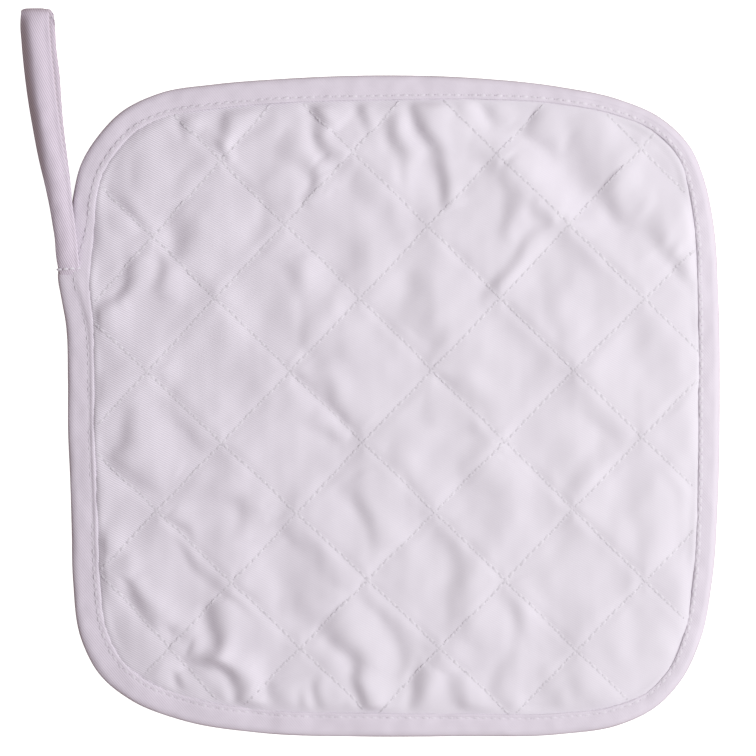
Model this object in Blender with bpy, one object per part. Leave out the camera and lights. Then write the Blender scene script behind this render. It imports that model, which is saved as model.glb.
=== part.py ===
"""A quilted square pot holder: a padded twill cloth sewn through in diamonds, bound all round with a folded
tape, with a hanging loop of the same tape at one corner.

Metres, +Z up. The origin is the middle of the outline's box, on the surface that the pot holder lies on.
Tables are in millimetres and are turned into metres where they are read.
"""

import math

import bmesh
import bpy
import numpy as np

MM = 0.001
COLLECTION_NAME = "pot_holder"
CUTTER_COLLECTION_NAME = "pot_holder_cutters"

# Pieces that touch in the real pot holder keep this gap here.
GAP = 0.3 * MM

# Quilted pad
SEAM_PITCH = 30.2
CROWN_HEIGHT = 5.3
CROWN_UNEVENNESS = 0.35
SEAM_TOP_HEIGHT = 3.6
EDGE_TOP_HEIGHT = 2.9
SEAM_UNDER_HEIGHT = 0.8
PUFF_POWER = 0.45
EDGE_RISE = 4.5
UNDER_EDGE_RISE = 3.0
# Places of the mesh lines across one quilted diamond, as shares of the way from seam to seam.
CELL_STEPS = (0.0, 0.08, 0.25, 0.5, 0.75, 0.92)

# Tongue of the pad, the pressed rim that lies inside the binding
TONGUE_BOTTOM = 0.95 * MM
TONGUE_TOP = 2.45 * MM
TONGUE_ROOT = 3.0 * MM

# Edge binding
BINDING_HEIGHT = 3.4
TAPE_THICKNESS = 0.6
SLOT_END = 1.0
RING_STATIONS = 96

# Hanging loop
LOOP_STATIONS = 56

# The outline, clockwise from the foot of the loop: place, x, y, and the binding's width there.
OUTLINE = (
    ("foot of the loop", -94.2, 29.7, 9.9),
    ("under the loop, low", -91.8, 36.1, 8.7),
    ("under the loop, middle", -90.2, 43.9, 8.1),
    ("loop leaves the edge", -89.5, 53.9, 7.6),
    ("top left corner, side", -87.4, 62.7, 7.5),
    ("top left corner, middle", -81.2, 72.8, 7.6),
    ("top left corner, top", -75.3, 78.8, 7.6),
    ("top, left end", -63.3, 84.7, 7.5),
    ("top, left", -46.7, 87.4, 7.5),
    ("top, middle left", -27.0, 89.0, 7.4),
    ("top, middle", 3.3, 90.1, 7.6),
    ("top, middle right", 33.6, 89.2, 6.5),
    ("top, right", 57.9, 86.6, 5.3),
    ("top right corner, top", 76.1, 82.7, 5.0),
    ("top right corner, rounding", 88.2, 77.3, 4.8),
    ("top right corner, middle", 97.6, 67.9, 4.9),
    ("top right corner, side", 101.5, 58.5, 5.5),
    ("right, top", 104.1, 46.4, 5.9),
    ("right, middle top", 105.8, 22.1, 6.4),
    ("right, middle", 106.2, -8.2, 6.7),
    ("right, middle bottom", 105.6, -38.5, 6.4),
    ("right, bottom", 103.9, -62.7, 6.0),
    ("bottom right corner, side", 100.3, -80.9, 5.5),
    ("bottom right corner, middle", 94.5, -93.0, 5.2),
    ("bottom right corner, rounding", 86.7, -101.2, 5.5),
    ("bottom right corner, bottom", 76.1, -106.4, 6.1),
    ("bottom, right", 57.9, -109.3, 6.5),
    ("bottom, middle right", 27.6, -109.9, 6.9),
    ("bottom, middle", -2.7, -110.0, 7.2),
    ("bottom, middle left", -33.0, -108.9, 7.2),
    ("bottom left corner, bottom", -57.3, -104.9, 7.5),
    ("bottom left corner, rounding", -72.1, -99.0, 7.7),
    ("bottom left corner, middle", -81.5, -91.3, 8.2),
    ("bottom left corner, side", -87.0, -80.9, 8.4),
    ("left, bottom", -89.6, -62.7, 8.4),
    ("left, lower", -90.0, -47.5, 8.2),
    ("left, middle bottom", -90.45, -32.4, 8.1),
    ("left, below the middle", -91.1, -17.3, 8.2),
    ("left, middle", -91.15, -2.1, 8.2),
    ("left, top", -91.85, 15.5, 8.5),
    ("left, below the loop", -93.2, 23.0, 9.1),
)

# Quilting seams that fall to the right: place along v at u = 0, and how v grows with u.
# u runs down to the right and v up to the right, each at 45 degrees to the sides.
FALLING_SEAMS = (
    ("past the top right corner", 106.0 + SEAM_PITCH, 0.003),
    ("first", 106.0, 0.003),
    ("second", 74.3, 0.009),
    ("third", 44.1, 0.008),
    ("fourth", 14.1, 0.006),
    ("fifth", -16.2, 0.013),
    ("sixth", -45.8, 0.029),
    ("seventh", -74.4, 0.022),
    ("eighth", -100.7, -0.040),
    ("past the bottom left corner", -100.7 - SEAM_PITCH, -0.040),
)

# Quilting seams that rise to the right: place along u at v = 0, and how u grows with v.
RISING_SEAMS = (
    ("past the top left corner, second", -76.3 - 2 * SEAM_PITCH, -0.055),
    ("past the top left corner, first", -76.3 - SEAM_PITCH, -0.055),
    ("first", -76.3, -0.055),
    ("second", -49.3, -0.033),
    ("third", -17.6, -0.024),
    ("fourth", 13.2, -0.029),
    ("fifth", 43.6, -0.006),
    ("sixth", 73.0, -0.022),
    ("seventh", 103.5, -0.011),
    ("past the bottom right corner", 103.5 + SEAM_PITCH, -0.011),
)

# The binding's section, once round: place, how far in from the fold, as a number of tape walls plus a
# share of the width, and the height as a share of the whole height.
BINDING_SECTION = (
    ("fold, middle", 0.0, 0.0, 0.50),
    ("fold, upper", 0.5, 0.0, 0.80),
    ("top, by the fold", 1.8, 0.0, 0.96),
    ("top, middle", 0.0, 0.5, 1.00),
    ("top, by the edge", -1.0, 1.0, 0.985),
    ("upper edge, top", 0.0, 1.0, 0.93),
    ("upper edge, bottom", 0.0, 1.0, 0.825),
    ("slot, upper end", 1.9, 0.0, 0.815),
    ("slot, end", 1.7, 0.0, 0.50),
    ("slot, lower end", 1.9, 0.0, 0.185),
    ("lower edge, top", 0.0, 1.0, 0.175),
    ("lower edge, bottom", 0.0, 1.0, 0.0),
    ("bottom, by the fold", 1.8, 0.0, 0.0),
    ("fold, lower", 0.5, 0.0, 0.17),
)

# The loop, from its sewn end, up, over and back under: place, y, left and right edge, height of the tape's
# middle, thickness at its folded left side, and thickness at its sewn right side.
LOOP_RUN = (
    ("upper end, sewn", 31.0, -93.9, -87.8, 5.40, 1.5, 0.9),
    ("upper, on the binding, low", 35.8, -94.6, -87.9, 5.45, 1.6, 0.9),
    ("upper, on the binding, middle", 40.3, -94.9, -88.1, 5.50, 1.7, 0.9),
    ("upper, on the binding, high", 45.5, -95.7, -89.2, 5.50, 1.8, 1.0),
    ("upper, by the corner", 50.6, -96.6, -90.4, 5.50, 1.9, 1.0),
    ("upper, past the corner", 56.1, -97.8, -90.4, 5.55, 2.0, 1.1),
    ("upper, low", 64.5, -99.7, -91.7, 5.70, 2.2, 1.2),
    ("upper, lower middle", 73.6, -101.5, -93.0, 6.00, 2.3, 1.2),
    ("upper, middle", 82.7, -103.0, -94.2, 6.35, 2.5, 1.3),
    ("upper, upper middle", 90.0, -104.0, -95.0, 6.60, 2.5, 1.3),
    ("upper, high", 99.1, -104.8, -96.1, 6.90, 2.4, 1.3),
    ("fold, start", 105.6, -105.3, -96.7, 7.00, 2.0, 1.2),
    ("fold, upper quarter", 108.5, -105.2, -97.0, 6.05, 1.5, 1.1),
    ("fold, tip", 109.5, -105.1, -97.0, 3.85, 1.2, 1.1),
    ("fold, lower quarter", 108.5, -104.8, -96.2, 1.65, 1.2, 1.2),
    ("fold, end", 105.6, -104.3, -95.5, 0.70, 1.2, 1.2),
    ("lower, high", 99.1, -103.6, -95.0, 0.68, 1.2, 1.2),
    ("lower, upper middle", 90.0, -102.8, -93.9, 0.68, 1.2, 1.2),
    ("lower, middle", 82.7, -102.0, -93.4, 0.75, 1.2, 1.2),
    ("lower, lower middle", 75.6, -101.0, -92.8, 1.20, 1.2, 1.2),
    ("lower, low", 66.5, -99.4, -91.8, 2.70, 1.1, 1.1),
    ("lower, past the corner", 58.1, -97.7, -90.8, 3.90, 1.0, 1.0),
    ("lower, by the corner", 50.6, -96.3, -90.6, 4.20, 0.9, 0.9),
    ("lower, on the binding, high", 45.5, -95.5, -89.4, 4.20, 0.9, 0.9),
    ("lower, on the binding, middle", 40.3, -94.7, -88.3, 4.20, 0.9, 0.9),
    ("lower end, sewn", 31.0, -93.9, -88.0, 4.20, 0.9, 0.9),
)

# The tape's section, once round: place, how far across from left, how far through from the loop's inside,
# and the share of the folded side's extra thickness.
TAPE_SECTION = (
    ("inner face, left", 0.05, 0.0, 0.0),
    ("inner face, middle left", 0.25, 0.0, 0.0),
    ("inner face, middle", 0.50, 0.0, 0.0),
    ("inner face, right", 0.96, 0.0, 0.0),
    ("sewn edge", 1.00, 0.5, 0.0),
    ("outer face, right", 0.96, 1.0, 0.0),
    ("outer face, middle right", 0.70, 1.0, 0.0),
    ("outer face, foot of the fold", 0.42, 1.0, 0.1),
    ("outer face, fold's slope", 0.30, 1.0, 0.8),
    ("outer face, fold's top", 0.17, 1.0, 1.0),
    ("outer face, fold's shoulder", 0.04, 0.9, 0.8),
    ("folded edge", 0.00, 0.5, 0.3),
)

FINISHES = {
    "quilted_pad": ((0.70, 0.66, 0.72, 1.0), 0.85),
    "edge_binding": ((0.66, 0.61, 0.68, 1.0), 0.82),
    "hanging_loop": ((0.60, 0.54, 0.60, 1.0), 0.82),
}


def clear_scene():
    for obj in list(bpy.data.objects):
        bpy.data.objects.remove(obj, do_unlink=True)


def new_collection(name):
    collection = bpy.data.collections.new(name)
    bpy.context.scene.collection.children.link(collection)
    return collection


def cloth_material(name):
    colour, roughness = FINISHES[name]
    material = bpy.data.materials.new(name)
    material.use_nodes = True
    shader = material.node_tree.nodes["Principled BSDF"]
    shader.inputs["Base Color"].default_value = colour
    shader.inputs["Roughness"].default_value = roughness
    shader.inputs["Metallic"].default_value = 0.0
    material.diffuse_color = colour
    return material


def object_from(bm, name, collection):
    """A new object from this bmesh, its faces pointing out."""
    bmesh.ops.recalc_face_normals(bm, faces=bm.faces[:])
    mesh = bpy.data.meshes.new(name)
    bm.to_mesh(mesh)
    bm.free()
    obj = bpy.data.objects.new(name, mesh)
    collection.objects.link(obj)
    return obj


def numbers(table):
    """The table's rows as an array, without the names of the places."""
    return np.array([row[1:] for row in table], float)


def smooth_curve(points, keys, places, closed):
    """Rows of values at these places on a smooth curve that passes through each of points at its key."""
    if closed:
        lap = keys[-1]
        points = np.vstack([points[-2:], points, points[1:3]])
        keys = np.concatenate([keys[:-1][-2:] - lap, keys, keys[1:3] + lap])
        points[:2] = points[-5:-3]
    gaps = np.diff(keys)[:, None]
    slopes = np.diff(points, axis=0) / gaps
    inner = (slopes[:-1] * gaps[1:] + slopes[1:] * gaps[:-1]) / (gaps[:-1] + gaps[1:])
    tangents = np.vstack([slopes[:1], inner, slopes[-1:]])
    left = np.clip(np.searchsorted(keys, places, side="right") - 1, 0, len(keys) - 2)
    span = (keys[left + 1] - keys[left])[:, None]
    t = (places - keys[left])[:, None] / span
    return (
        (2 * t**3 - 3 * t**2 + 1) * points[left]
        + (t**3 - 2 * t**2 + t) * span * tangents[left]
        + (3 * t**2 - 2 * t**3) * points[left + 1]
        + (t**3 - t**2) * span * tangents[left + 1]
    )


def running_length(places):
    """How far along the line of places each one is."""
    steps = np.linalg.norm(np.diff(places, axis=0), axis=1)
    return np.concatenate([[0.0], np.cumsum(steps)])


def evenly_spaced(rows, place_columns, count, closed):
    """count rows of values, evenly spaced along the smooth curve through these rows."""
    if closed:
        rows = np.vstack([rows, rows[:1]])
    keys = running_length(rows[:, place_columns])
    fine_keys = np.linspace(0.0, keys[-1], 20 * len(rows))
    fine = smooth_curve(rows, keys, fine_keys, closed)
    lengths = running_length(fine[:, place_columns])
    wanted = np.linspace(0.0, lengths[-1], count, endpoint=not closed)
    return smooth_curve(rows, keys, np.interp(wanted, lengths, fine_keys), closed)


def ring_stations():
    """Evenly spaced stations round the outline: place, inward direction and the binding's width, in metres."""
    rows = evenly_spaced(numbers(OUTLINE), [0, 1], RING_STATIONS, closed=True) * MM
    places = rows[:, :2]
    along = np.roll(places, -1, axis=0) - np.roll(places, 1, axis=0)
    along /= np.linalg.norm(along, axis=1)[:, None]
    # The outline runs clockwise, so inward is to the right of the way it runs.
    inward = np.column_stack([along[:, 1], -along[:, 0]])
    return places, inward, rows[:, 2]


def inset_outline(extra):
    """The outline moved in past the binding's inner edge by this much more."""
    places, inward, widths = ring_stations()
    return places + inward * (widths + extra)[:, None]


def outline_inside_fold(depth):
    """The outline moved in by the same depth all round."""
    places, inward, _ = ring_stations()
    return places + inward * depth


def plate(name, rings, bottom, top, collection):
    """A flat plate between two heights with these closed outlines, the second one a hole."""
    curve = bpy.data.curves.new(name, "CURVE")
    curve.dimensions = "2D"
    curve.fill_mode = "BOTH"
    curve.extrude = (top - bottom) / 2
    for ring in rings:
        spline = curve.splines.new("POLY")
        spline.points.add(len(ring) - 1)
        for point, (x, y) in zip(spline.points, ring):
            point.co = (x, y, 0.0, 1.0)
        spline.use_cyclic_u = True
    guide = bpy.data.objects.new(name + "_outline", curve)
    guide.location.z = (top + bottom) / 2
    collection.objects.link(guide)
    bpy.context.view_layer.update()
    graph = bpy.context.evaluated_depsgraph_get()
    mesh = bpy.data.meshes.new_from_object(guide.evaluated_get(graph))
    bm = bmesh.new()
    bm.from_mesh(mesh)
    bmesh.ops.remove_doubles(bm, verts=bm.verts[:], dist=0.00001)
    obj = object_from(bm, name, collection)
    obj.matrix_world = guide.matrix_world.copy()
    bpy.data.objects.remove(guide, do_unlink=True)
    bpy.data.meshes.remove(mesh)
    obj.hide_render = True
    obj.display_type = "WIRE"
    return obj


def combine(obj, other, operation):
    modifier = obj.modifiers.new(other.name, "BOOLEAN")
    modifier.operation = operation
    modifier.solver = "EXACT"
    modifier.object = other


def seam_meeting(falling, rising):
    """(x, y) in metres where two seams meet. A fraction names a line between two neighbouring seams."""
    fall = numbers(FALLING_SEAMS)
    rise = numbers(RISING_SEAMS)
    v_start, v_slope = (np.interp(falling, range(len(fall)), fall[:, i]) for i in (0, 1))
    u_start, u_slope = (np.interp(rising, range(len(rise)), rise[:, i]) for i in (0, 1))
    v = (v_start + v_slope * u_start) / (1 - v_slope * u_slope)
    u = u_start + u_slope * v
    return (u + v) / math.sqrt(2) * MM, (v - u) / math.sqrt(2) * MM


def edge_distance(x, y, ring):
    """Distance in mm from (x, y) to the closed outline, negative outside it."""
    starts = ring
    spans = np.roll(ring, -1, axis=0) - starts
    away = np.array([x, y]) - starts
    share = np.clip((away * spans).sum(axis=1) / (spans**2).sum(axis=1), 0, 1)
    distance = np.linalg.norm(away - spans * share[:, None], axis=1).min() / MM
    ends = np.roll(ring, -1, axis=0)
    crosses = (starts[:, 1] > y) != (ends[:, 1] > y)
    rise = np.where(crosses, ends[:, 1] - starts[:, 1], 1.0)
    meets = starts[:, 0] + (y - starts[:, 1]) * spans[:, 0] / rise
    inside = np.count_nonzero(crosses & (meets > x)) % 2
    return distance if inside else -distance


def cell_puff(falling, rising):
    """How full the diamond is at this place: 0 on a seam and 1 in the middle."""
    across = (falling % 1) * (1 - falling % 1) * 4
    along = (rising % 1) * (1 - rising % 1) * 4
    return (across * along) ** PUFF_POWER


def cell_crown(falling, rising):
    """The height in mm that this diamond would reach in its middle, a little different for each."""
    row = math.floor(falling)
    column = math.floor(rising)
    wave = math.sin(2.1 * row + 0.7 * column) + math.sin(1.3 * column - 0.9 * row)
    return CROWN_HEIGHT + CROWN_UNEVENNESS * wave / 2


def pad_heights(x, y, falling, rising, ring):
    """Heights in metres of the pad's top and underside at this place."""
    puff = cell_puff(falling, rising)
    inset = edge_distance(x, y, ring)
    rise = math.tanh(inset / EDGE_RISE)
    quilting = SEAM_TOP_HEIGHT + (cell_crown(falling, rising) - SEAM_TOP_HEIGHT) * puff
    top = EDGE_TOP_HEIGHT + (quilting - EDGE_TOP_HEIGHT) * rise
    pressed = min(1.0, puff / cell_puff(CELL_STEPS[2], CELL_STEPS[2]))
    pressed *= min(1.0, max(0.0, inset / UNDER_EDGE_RISE))
    return top * MM, SEAM_UNDER_HEIGHT * (1 - pressed) * MM


def cell_lines(seams):
    """Numbers of the mesh lines across the seams: whole ones are seams, and the rest lie between."""
    lines = [seam + step for seam in range(len(seams) - 1) for step in CELL_STEPS]
    return lines + [float(len(seams) - 1)]


def make_pad(collection, cutters):
    """The padded cloth: two quilted faces, cut to the binding's inner edge, with a tongue in the binding."""
    falling_lines = cell_lines(FALLING_SEAMS)
    rising_lines = cell_lines(RISING_SEAMS)
    ring = inset_outline(GAP)
    bm = bmesh.new()
    columns = len(falling_lines) - 1
    rows = len(rising_lines) - 1
    bmesh.ops.create_grid(bm, x_segments=columns, y_segments=rows, size=1.0)
    bmesh.ops.triangulate(bm, faces=bm.faces[:])
    top_points = bm.verts[:]
    extruded = bmesh.ops.extrude_face_region(bm, geom=bm.faces[:], use_keep_orig=True)
    under_points = [item for item in extruded["geom"] if isinstance(item, bmesh.types.BMVert)]
    for points, side in ((top_points, 0), (under_points, 1)):
        for point in points:
            falling = falling_lines[round((point.co.x + 1) / 2 * columns)]
            rising = rising_lines[round((point.co.y + 1) / 2 * rows)]
            x, y = seam_meeting(falling, rising)
            point.co = (x, y, pad_heights(x, y, falling, rising, ring)[side])
    pad = object_from(bm, "quilted_pad", collection)
    trim = plate("pad_trim", [ring], -0.01, 0.02, cutters)
    rims = [outline_inside_fold(SLOT_END * MM + 2 * GAP), inset_outline(TONGUE_ROOT)]
    tongue = plate("pad_tongue", rims, TONGUE_BOTTOM, TONGUE_TOP, cutters)
    combine(pad, trim, "INTERSECT")
    combine(pad, tongue, "UNION")
    return pad


def loft(bm, sections, closed):
    """Faces between neighbouring sections, each a closed row of points, with capped ends where it is open."""
    rings = [[bm.verts.new(point) for point in section] for section in sections]
    pairs = list(zip(rings, rings[1:]))
    if closed:
        pairs.append((rings[-1], rings[0]))
    else:
        bm.faces.new(rings[0])
        bm.faces.new(rings[-1])
    for first, second in pairs:
        for i in range(len(first)):
            j = (i + 1) % len(first)
            bm.faces.new((first[i], first[j], second[j], second[i]))


def make_binding(collection):
    """The tape folded over the pad's rim: a ring with a slot all round its inner side."""
    section = numbers(BINDING_SECTION)
    sections = []
    for place, inward, width in zip(*ring_stations()):
        depths = section[:, 0] * TAPE_THICKNESS * MM + section[:, 1] * width
        heights = section[:, 2] * BINDING_HEIGHT * MM
        sections.append(
            [(*(place + inward * depth), height) for depth, height in zip(depths, heights)]
        )
    bm = bmesh.new()
    loft(bm, sections, closed=True)
    return object_from(bm, "edge_binding", collection)


def make_loop(collection):
    """The hanging loop: a length of the tape, folded over at its tip, both ends on the binding."""
    rows = evenly_spaced(numbers(LOOP_RUN), [0, 3], LOOP_STATIONS, closed=False) * MM
    path = rows[:, [0, 3]]
    along = np.gradient(path, axis=0)
    along /= np.linalg.norm(along, axis=1)[:, None]
    section = numbers(TAPE_SECTION)
    sections = []
    for (y, left, right, height, fold, edge), (step_y, step_z) in zip(rows, along):
        across = left + (right - left) * section[:, 0]
        through = edge * (section[:, 1] - 0.5) + (fold - edge) * section[:, 2]
        sections.append(
            [(x, y - step_z * t, height + step_y * t) for x, t in zip(across, through)]
        )
    bm = bmesh.new()
    loft(bm, sections, closed=False)
    return object_from(bm, "hanging_loop", collection)


def main():
    clear_scene()
    collection = new_collection(COLLECTION_NAME)
    cutters = new_collection(CUTTER_COLLECTION_NAME)
    cutters.hide_render = True
    parts = (make_pad(collection, cutters), make_binding(collection), make_loop(collection))
    for obj in parts:
        obj.data.materials.append(cloth_material(obj.name))
        obj.data.shade_smooth()
        obj.data.set_sharp_from_angle(angle=math.radians(40))


main()
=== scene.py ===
import math

import bpy
import numpy as np
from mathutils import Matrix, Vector


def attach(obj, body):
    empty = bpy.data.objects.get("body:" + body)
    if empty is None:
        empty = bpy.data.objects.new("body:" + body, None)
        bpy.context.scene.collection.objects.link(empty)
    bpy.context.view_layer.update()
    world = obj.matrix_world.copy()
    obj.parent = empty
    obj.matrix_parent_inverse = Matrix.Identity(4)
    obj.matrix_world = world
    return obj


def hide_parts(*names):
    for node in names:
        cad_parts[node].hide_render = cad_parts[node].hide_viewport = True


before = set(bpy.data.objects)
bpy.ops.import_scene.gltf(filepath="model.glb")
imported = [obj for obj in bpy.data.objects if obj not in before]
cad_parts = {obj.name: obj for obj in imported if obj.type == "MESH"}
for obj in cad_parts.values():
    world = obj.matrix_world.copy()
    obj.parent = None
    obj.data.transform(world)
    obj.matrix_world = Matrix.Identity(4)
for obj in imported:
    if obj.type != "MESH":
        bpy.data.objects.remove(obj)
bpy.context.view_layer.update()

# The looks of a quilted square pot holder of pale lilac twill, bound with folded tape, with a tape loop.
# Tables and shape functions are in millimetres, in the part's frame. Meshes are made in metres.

MM = 0.001

# The view from above: the middle of its frame on the pot holder, the frame's width, and the distance.
VIEW_CENTRE = (2.7, -1.5)
VIEW_WIDTH = 229.1
VIEW_DISTANCE = 1200.0
SENSOR_WIDTH = 36.0

# Quilted pad
SEAM_PITCH = 30.2
SEAM_TOP_HEIGHT = 3.9
FURROW_DEPTH = 0.26
FURROW_WIDTH = 1.7
SEAM_ROLL = 0.5
SEAM_ROLL_WIDTH = 5.0
CROWN_RISE = 0.45
EDGE_TOP_HEIGHT = 2.85
EDGE_RISE = 4.0
SEAM_UNDER_HEIGHT = 0.9
UNDER_EDGE_RISE = 4.0
PUFF_POWER = 0.5
RIM_TOP = 2.4
RIM_BOTTOM = 0.95
RIM_DEPTH = 3.2
LINES_PER_CELL = 33
INNER_RING_STATIONS = 240
CROWN_POWER = 1.5
UNDER_PUFF = 1.15
SEAM_CROWDING = 0.42

# Thread
THREAD_RADIUS = 0.52
THREAD_HEIGHT = 0.06
STITCH_PITCH = 2.58
STITCH_LENGTH = 2.05
SEAM_STITCH_MARGIN = 0.4
SEAM_STITCH_STRAY = 0.12
BINDING_STITCH_STRAY = 0.1
NEEDLE_HOLE_RADIUS = 0.5
NEEDLE_HOLE_UNEVENNESS = 0.3

# Edge binding
BINDING_STATIONS = 500
BINDING_SECTION_POINTS = 88
BINDING_USUAL_WIDTH = 7.0
UPPER_FACE_HEIGHT = 2.0
TOPSTITCH_INSET = 1.25
FOOT_PULL = 3.0
FOOT_REACH = 12.5
TOPSTITCH_HEIGHT = 3.42
TOPSTITCH_RISE = 0.13
UNDERSTITCH_HEIGHT = 0.28
TOPSTITCH_MORE_ON_LEFT = 0.3
GROOVE_WIDTH = 0.5
DIP_INSET = 2.1
DIP_WIDTH = 1.2
LIP_START = 0.95
LIP_SLOPE = 1.3
LOOP_FOOT = (-94.2, 29.7)

# Unevenness of the cloth: heights of the pad's waves on top and below, of the tape's, and of the seams' depth
BROAD_WAVE_HEIGHT = 0.32
CLOTH_WAVE_HEIGHT = 0.12
FINE_WAVE_HEIGHT = 0.025
UNDER_WAVE_HEIGHT = 0.12
TAPE_WAVE_HEIGHT = 0.12
TAPE_RIPPLE_HEIGHT = 0.05
SEAM_UNEVENNESS = 0.25
LOOSE_INSET = 2.5
TUCK_INSET = 1.0

# Hanging loop
LOOP_STATIONS = 260
LOOP_SECTION_POINTS = 40
LOOP_STATION_SPACING = 0.6
LOOP_STITCH_LENGTH = 1.8
LOOP_STITCH_MARGIN = 1.5
LOOP_STITCH_PLACE = 0.84
LOOP_STITCH_HEIGHT = 0.36
BAR_TACK_LENGTH = 1.6
BAR_TACK_RADIUS = 0.38
BAR_TACK_STITCHES = 5
YARN_RADIUS = 0.10
YARN_TOP = 3.2
YARN_SPACING = 0.3
YARN_FALL = 0.15

# Twill and thread
TWILL_SCALE = 0.314 / 0.0006
# The share of painted rib shade at the middle, growing to the left where the light grazes the cloth.
RIB_STRENGTH = 0.1
YARN_SCALE = 1600.0
YARN_RELIEF = 0.6
BLOTCH_SCALE = 42.0
TWILL_RELIEF = 0.00012
TWIST_SCALE = 5200.0
TWIST_SHADE = 0.86
TWIST_RELIEF = 0.00005
PAD_COLOUR = (0.750, 0.714, 0.765)
PAD_SHADE = (0.722, 0.680, 0.742)
TAPE_COLOUR = (0.728, 0.676, 0.744)
TAPE_SHADE = (0.698, 0.642, 0.714)
LOOP_COLOUR = (0.705, 0.632, 0.712)
LOOP_SHADE = (0.665, 0.590, 0.675)
THREAD_COLOUR = (0.745, 0.709, 0.762)
TAPE_THREAD_COLOUR = (0.750, 0.702, 0.766)
# Needle holes: darker colours that paint the shade in each hole.
NEEDLE_HOLE_PAINTED_SHADE = (0.655, 0.62, 0.67)
TAPE_HOLE_PAINTED_SHADE = (0.58, 0.52, 0.59)

# The window's distance in metres, its direction and its height in degrees, and the room and floor around.
KEY_PLACE = (0.72, 3.0, 47.0)
KEY_SIZE = 0.34
KEY_POWER = 2.98
KEY_COLOUR = (0.96, 1.0, 0.95)
ROOM_DARK = (0.066, 0.038, 0.02)
ROOM_BRIGHT = (0.98, 0.93, 1.0)
ROOM_BY_SIDE = 0.65
ROOM_BY_HEIGHT = 0.56
ROOM_MIDDLE = 0.39
ROOM_STRENGTH = 0.82
FLOOR_RETURN = (0.20, 0.085, 0.02)
FLOOR_SIZE = 4.0
FLOOR_HEIGHT = -0.05
FLOOR_GLOW = 0.9

# The side of a crease that stands up and catches the light, across the pot holder.
LIT_SIDE = (0.92, 0.39)
LOW_SIDE = 0.75
LOW_SIDE_SHARE = 0.8
HIGH_SIDE = 1.45
LOW_SIDE_SHIFT = 0.25
CREASE_SHIFT = 0.7
CREASE_STRENGTH = 0.92
CREASE_RUN_ON = 2.0
CREASE_SPACING = 1.5

# The outline, clockwise from the foot of the loop: place, x, y, and the binding's width there.
OUTLINE = (
    ("foot of the loop", -94.2, 29.7, 9.9),
    ("under the loop, low", -92.8, 36.1, 9.2),
    ("under the loop, middle", -90.9, 43.9, 8.0),
    ("loop leaves the edge", -89.5, 53.9, 7.2),
    ("top left corner, side", -87.4, 62.7, 7.5),
    ("top left corner, middle", -81.2, 72.8, 7.6),
    ("top left corner, top", -75.3, 78.8, 7.6),
    ("top, left end", -63.3, 84.7, 7.5),
    ("top, left", -46.7, 87.4, 7.5),
    ("top, middle left", -27.0, 89.0, 7.4),
    ("top, middle", 3.3, 90.1, 7.6),
    ("top, middle right", 33.6, 89.2, 6.5),
    ("top, right", 57.9, 86.6, 5.3),
    ("top right corner, top", 76.1, 82.7, 5.0),
    ("top right corner, rounding", 88.2, 77.3, 4.8),
    ("top right corner, middle", 97.6, 67.9, 4.9),
    ("top right corner, side", 101.5, 58.5, 5.5),
    ("right, top", 104.1, 46.4, 5.9),
    ("right, middle top", 105.8, 22.1, 6.4),
    ("right, middle", 106.2, -8.2, 6.7),
    ("right, middle bottom", 105.6, -38.5, 6.4),
    ("right, bottom", 103.9, -62.7, 6.0),
    ("bottom right corner, side", 100.3, -80.9, 5.5),
    ("bottom right corner, middle", 94.5, -93.0, 5.2),
    ("bottom right corner, rounding", 86.7, -101.2, 5.5),
    ("bottom right corner, bottom", 76.1, -106.4, 6.1),
    ("bottom, right", 57.9, -109.3, 6.5),
    ("bottom, middle right", 27.6, -109.9, 6.9),
    ("bottom, middle", -2.7, -110.0, 7.2),
    ("bottom, middle left", -33.0, -108.9, 7.2),
    ("bottom left corner, bottom", -57.3, -104.9, 7.5),
    ("bottom left corner, rounding", -72.1, -99.0, 7.7),
    ("bottom left corner, middle", -81.5, -91.3, 8.2),
    ("bottom left corner, side", -87.0, -80.9, 8.4),
    ("left, bottom", -89.6, -62.7, 8.4),
    ("left, lower", -90.0, -47.5, 8.2),
    ("left, middle bottom", -90.45, -32.4, 8.1),
    ("left, below the middle", -91.1, -17.3, 8.2),
    ("left, middle", -91.15, -2.1, 8.2),
    ("left, top", -91.85, 15.5, 8.5),
    ("left, below the loop", -93.2, 23.0, 9.1),
)

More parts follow.
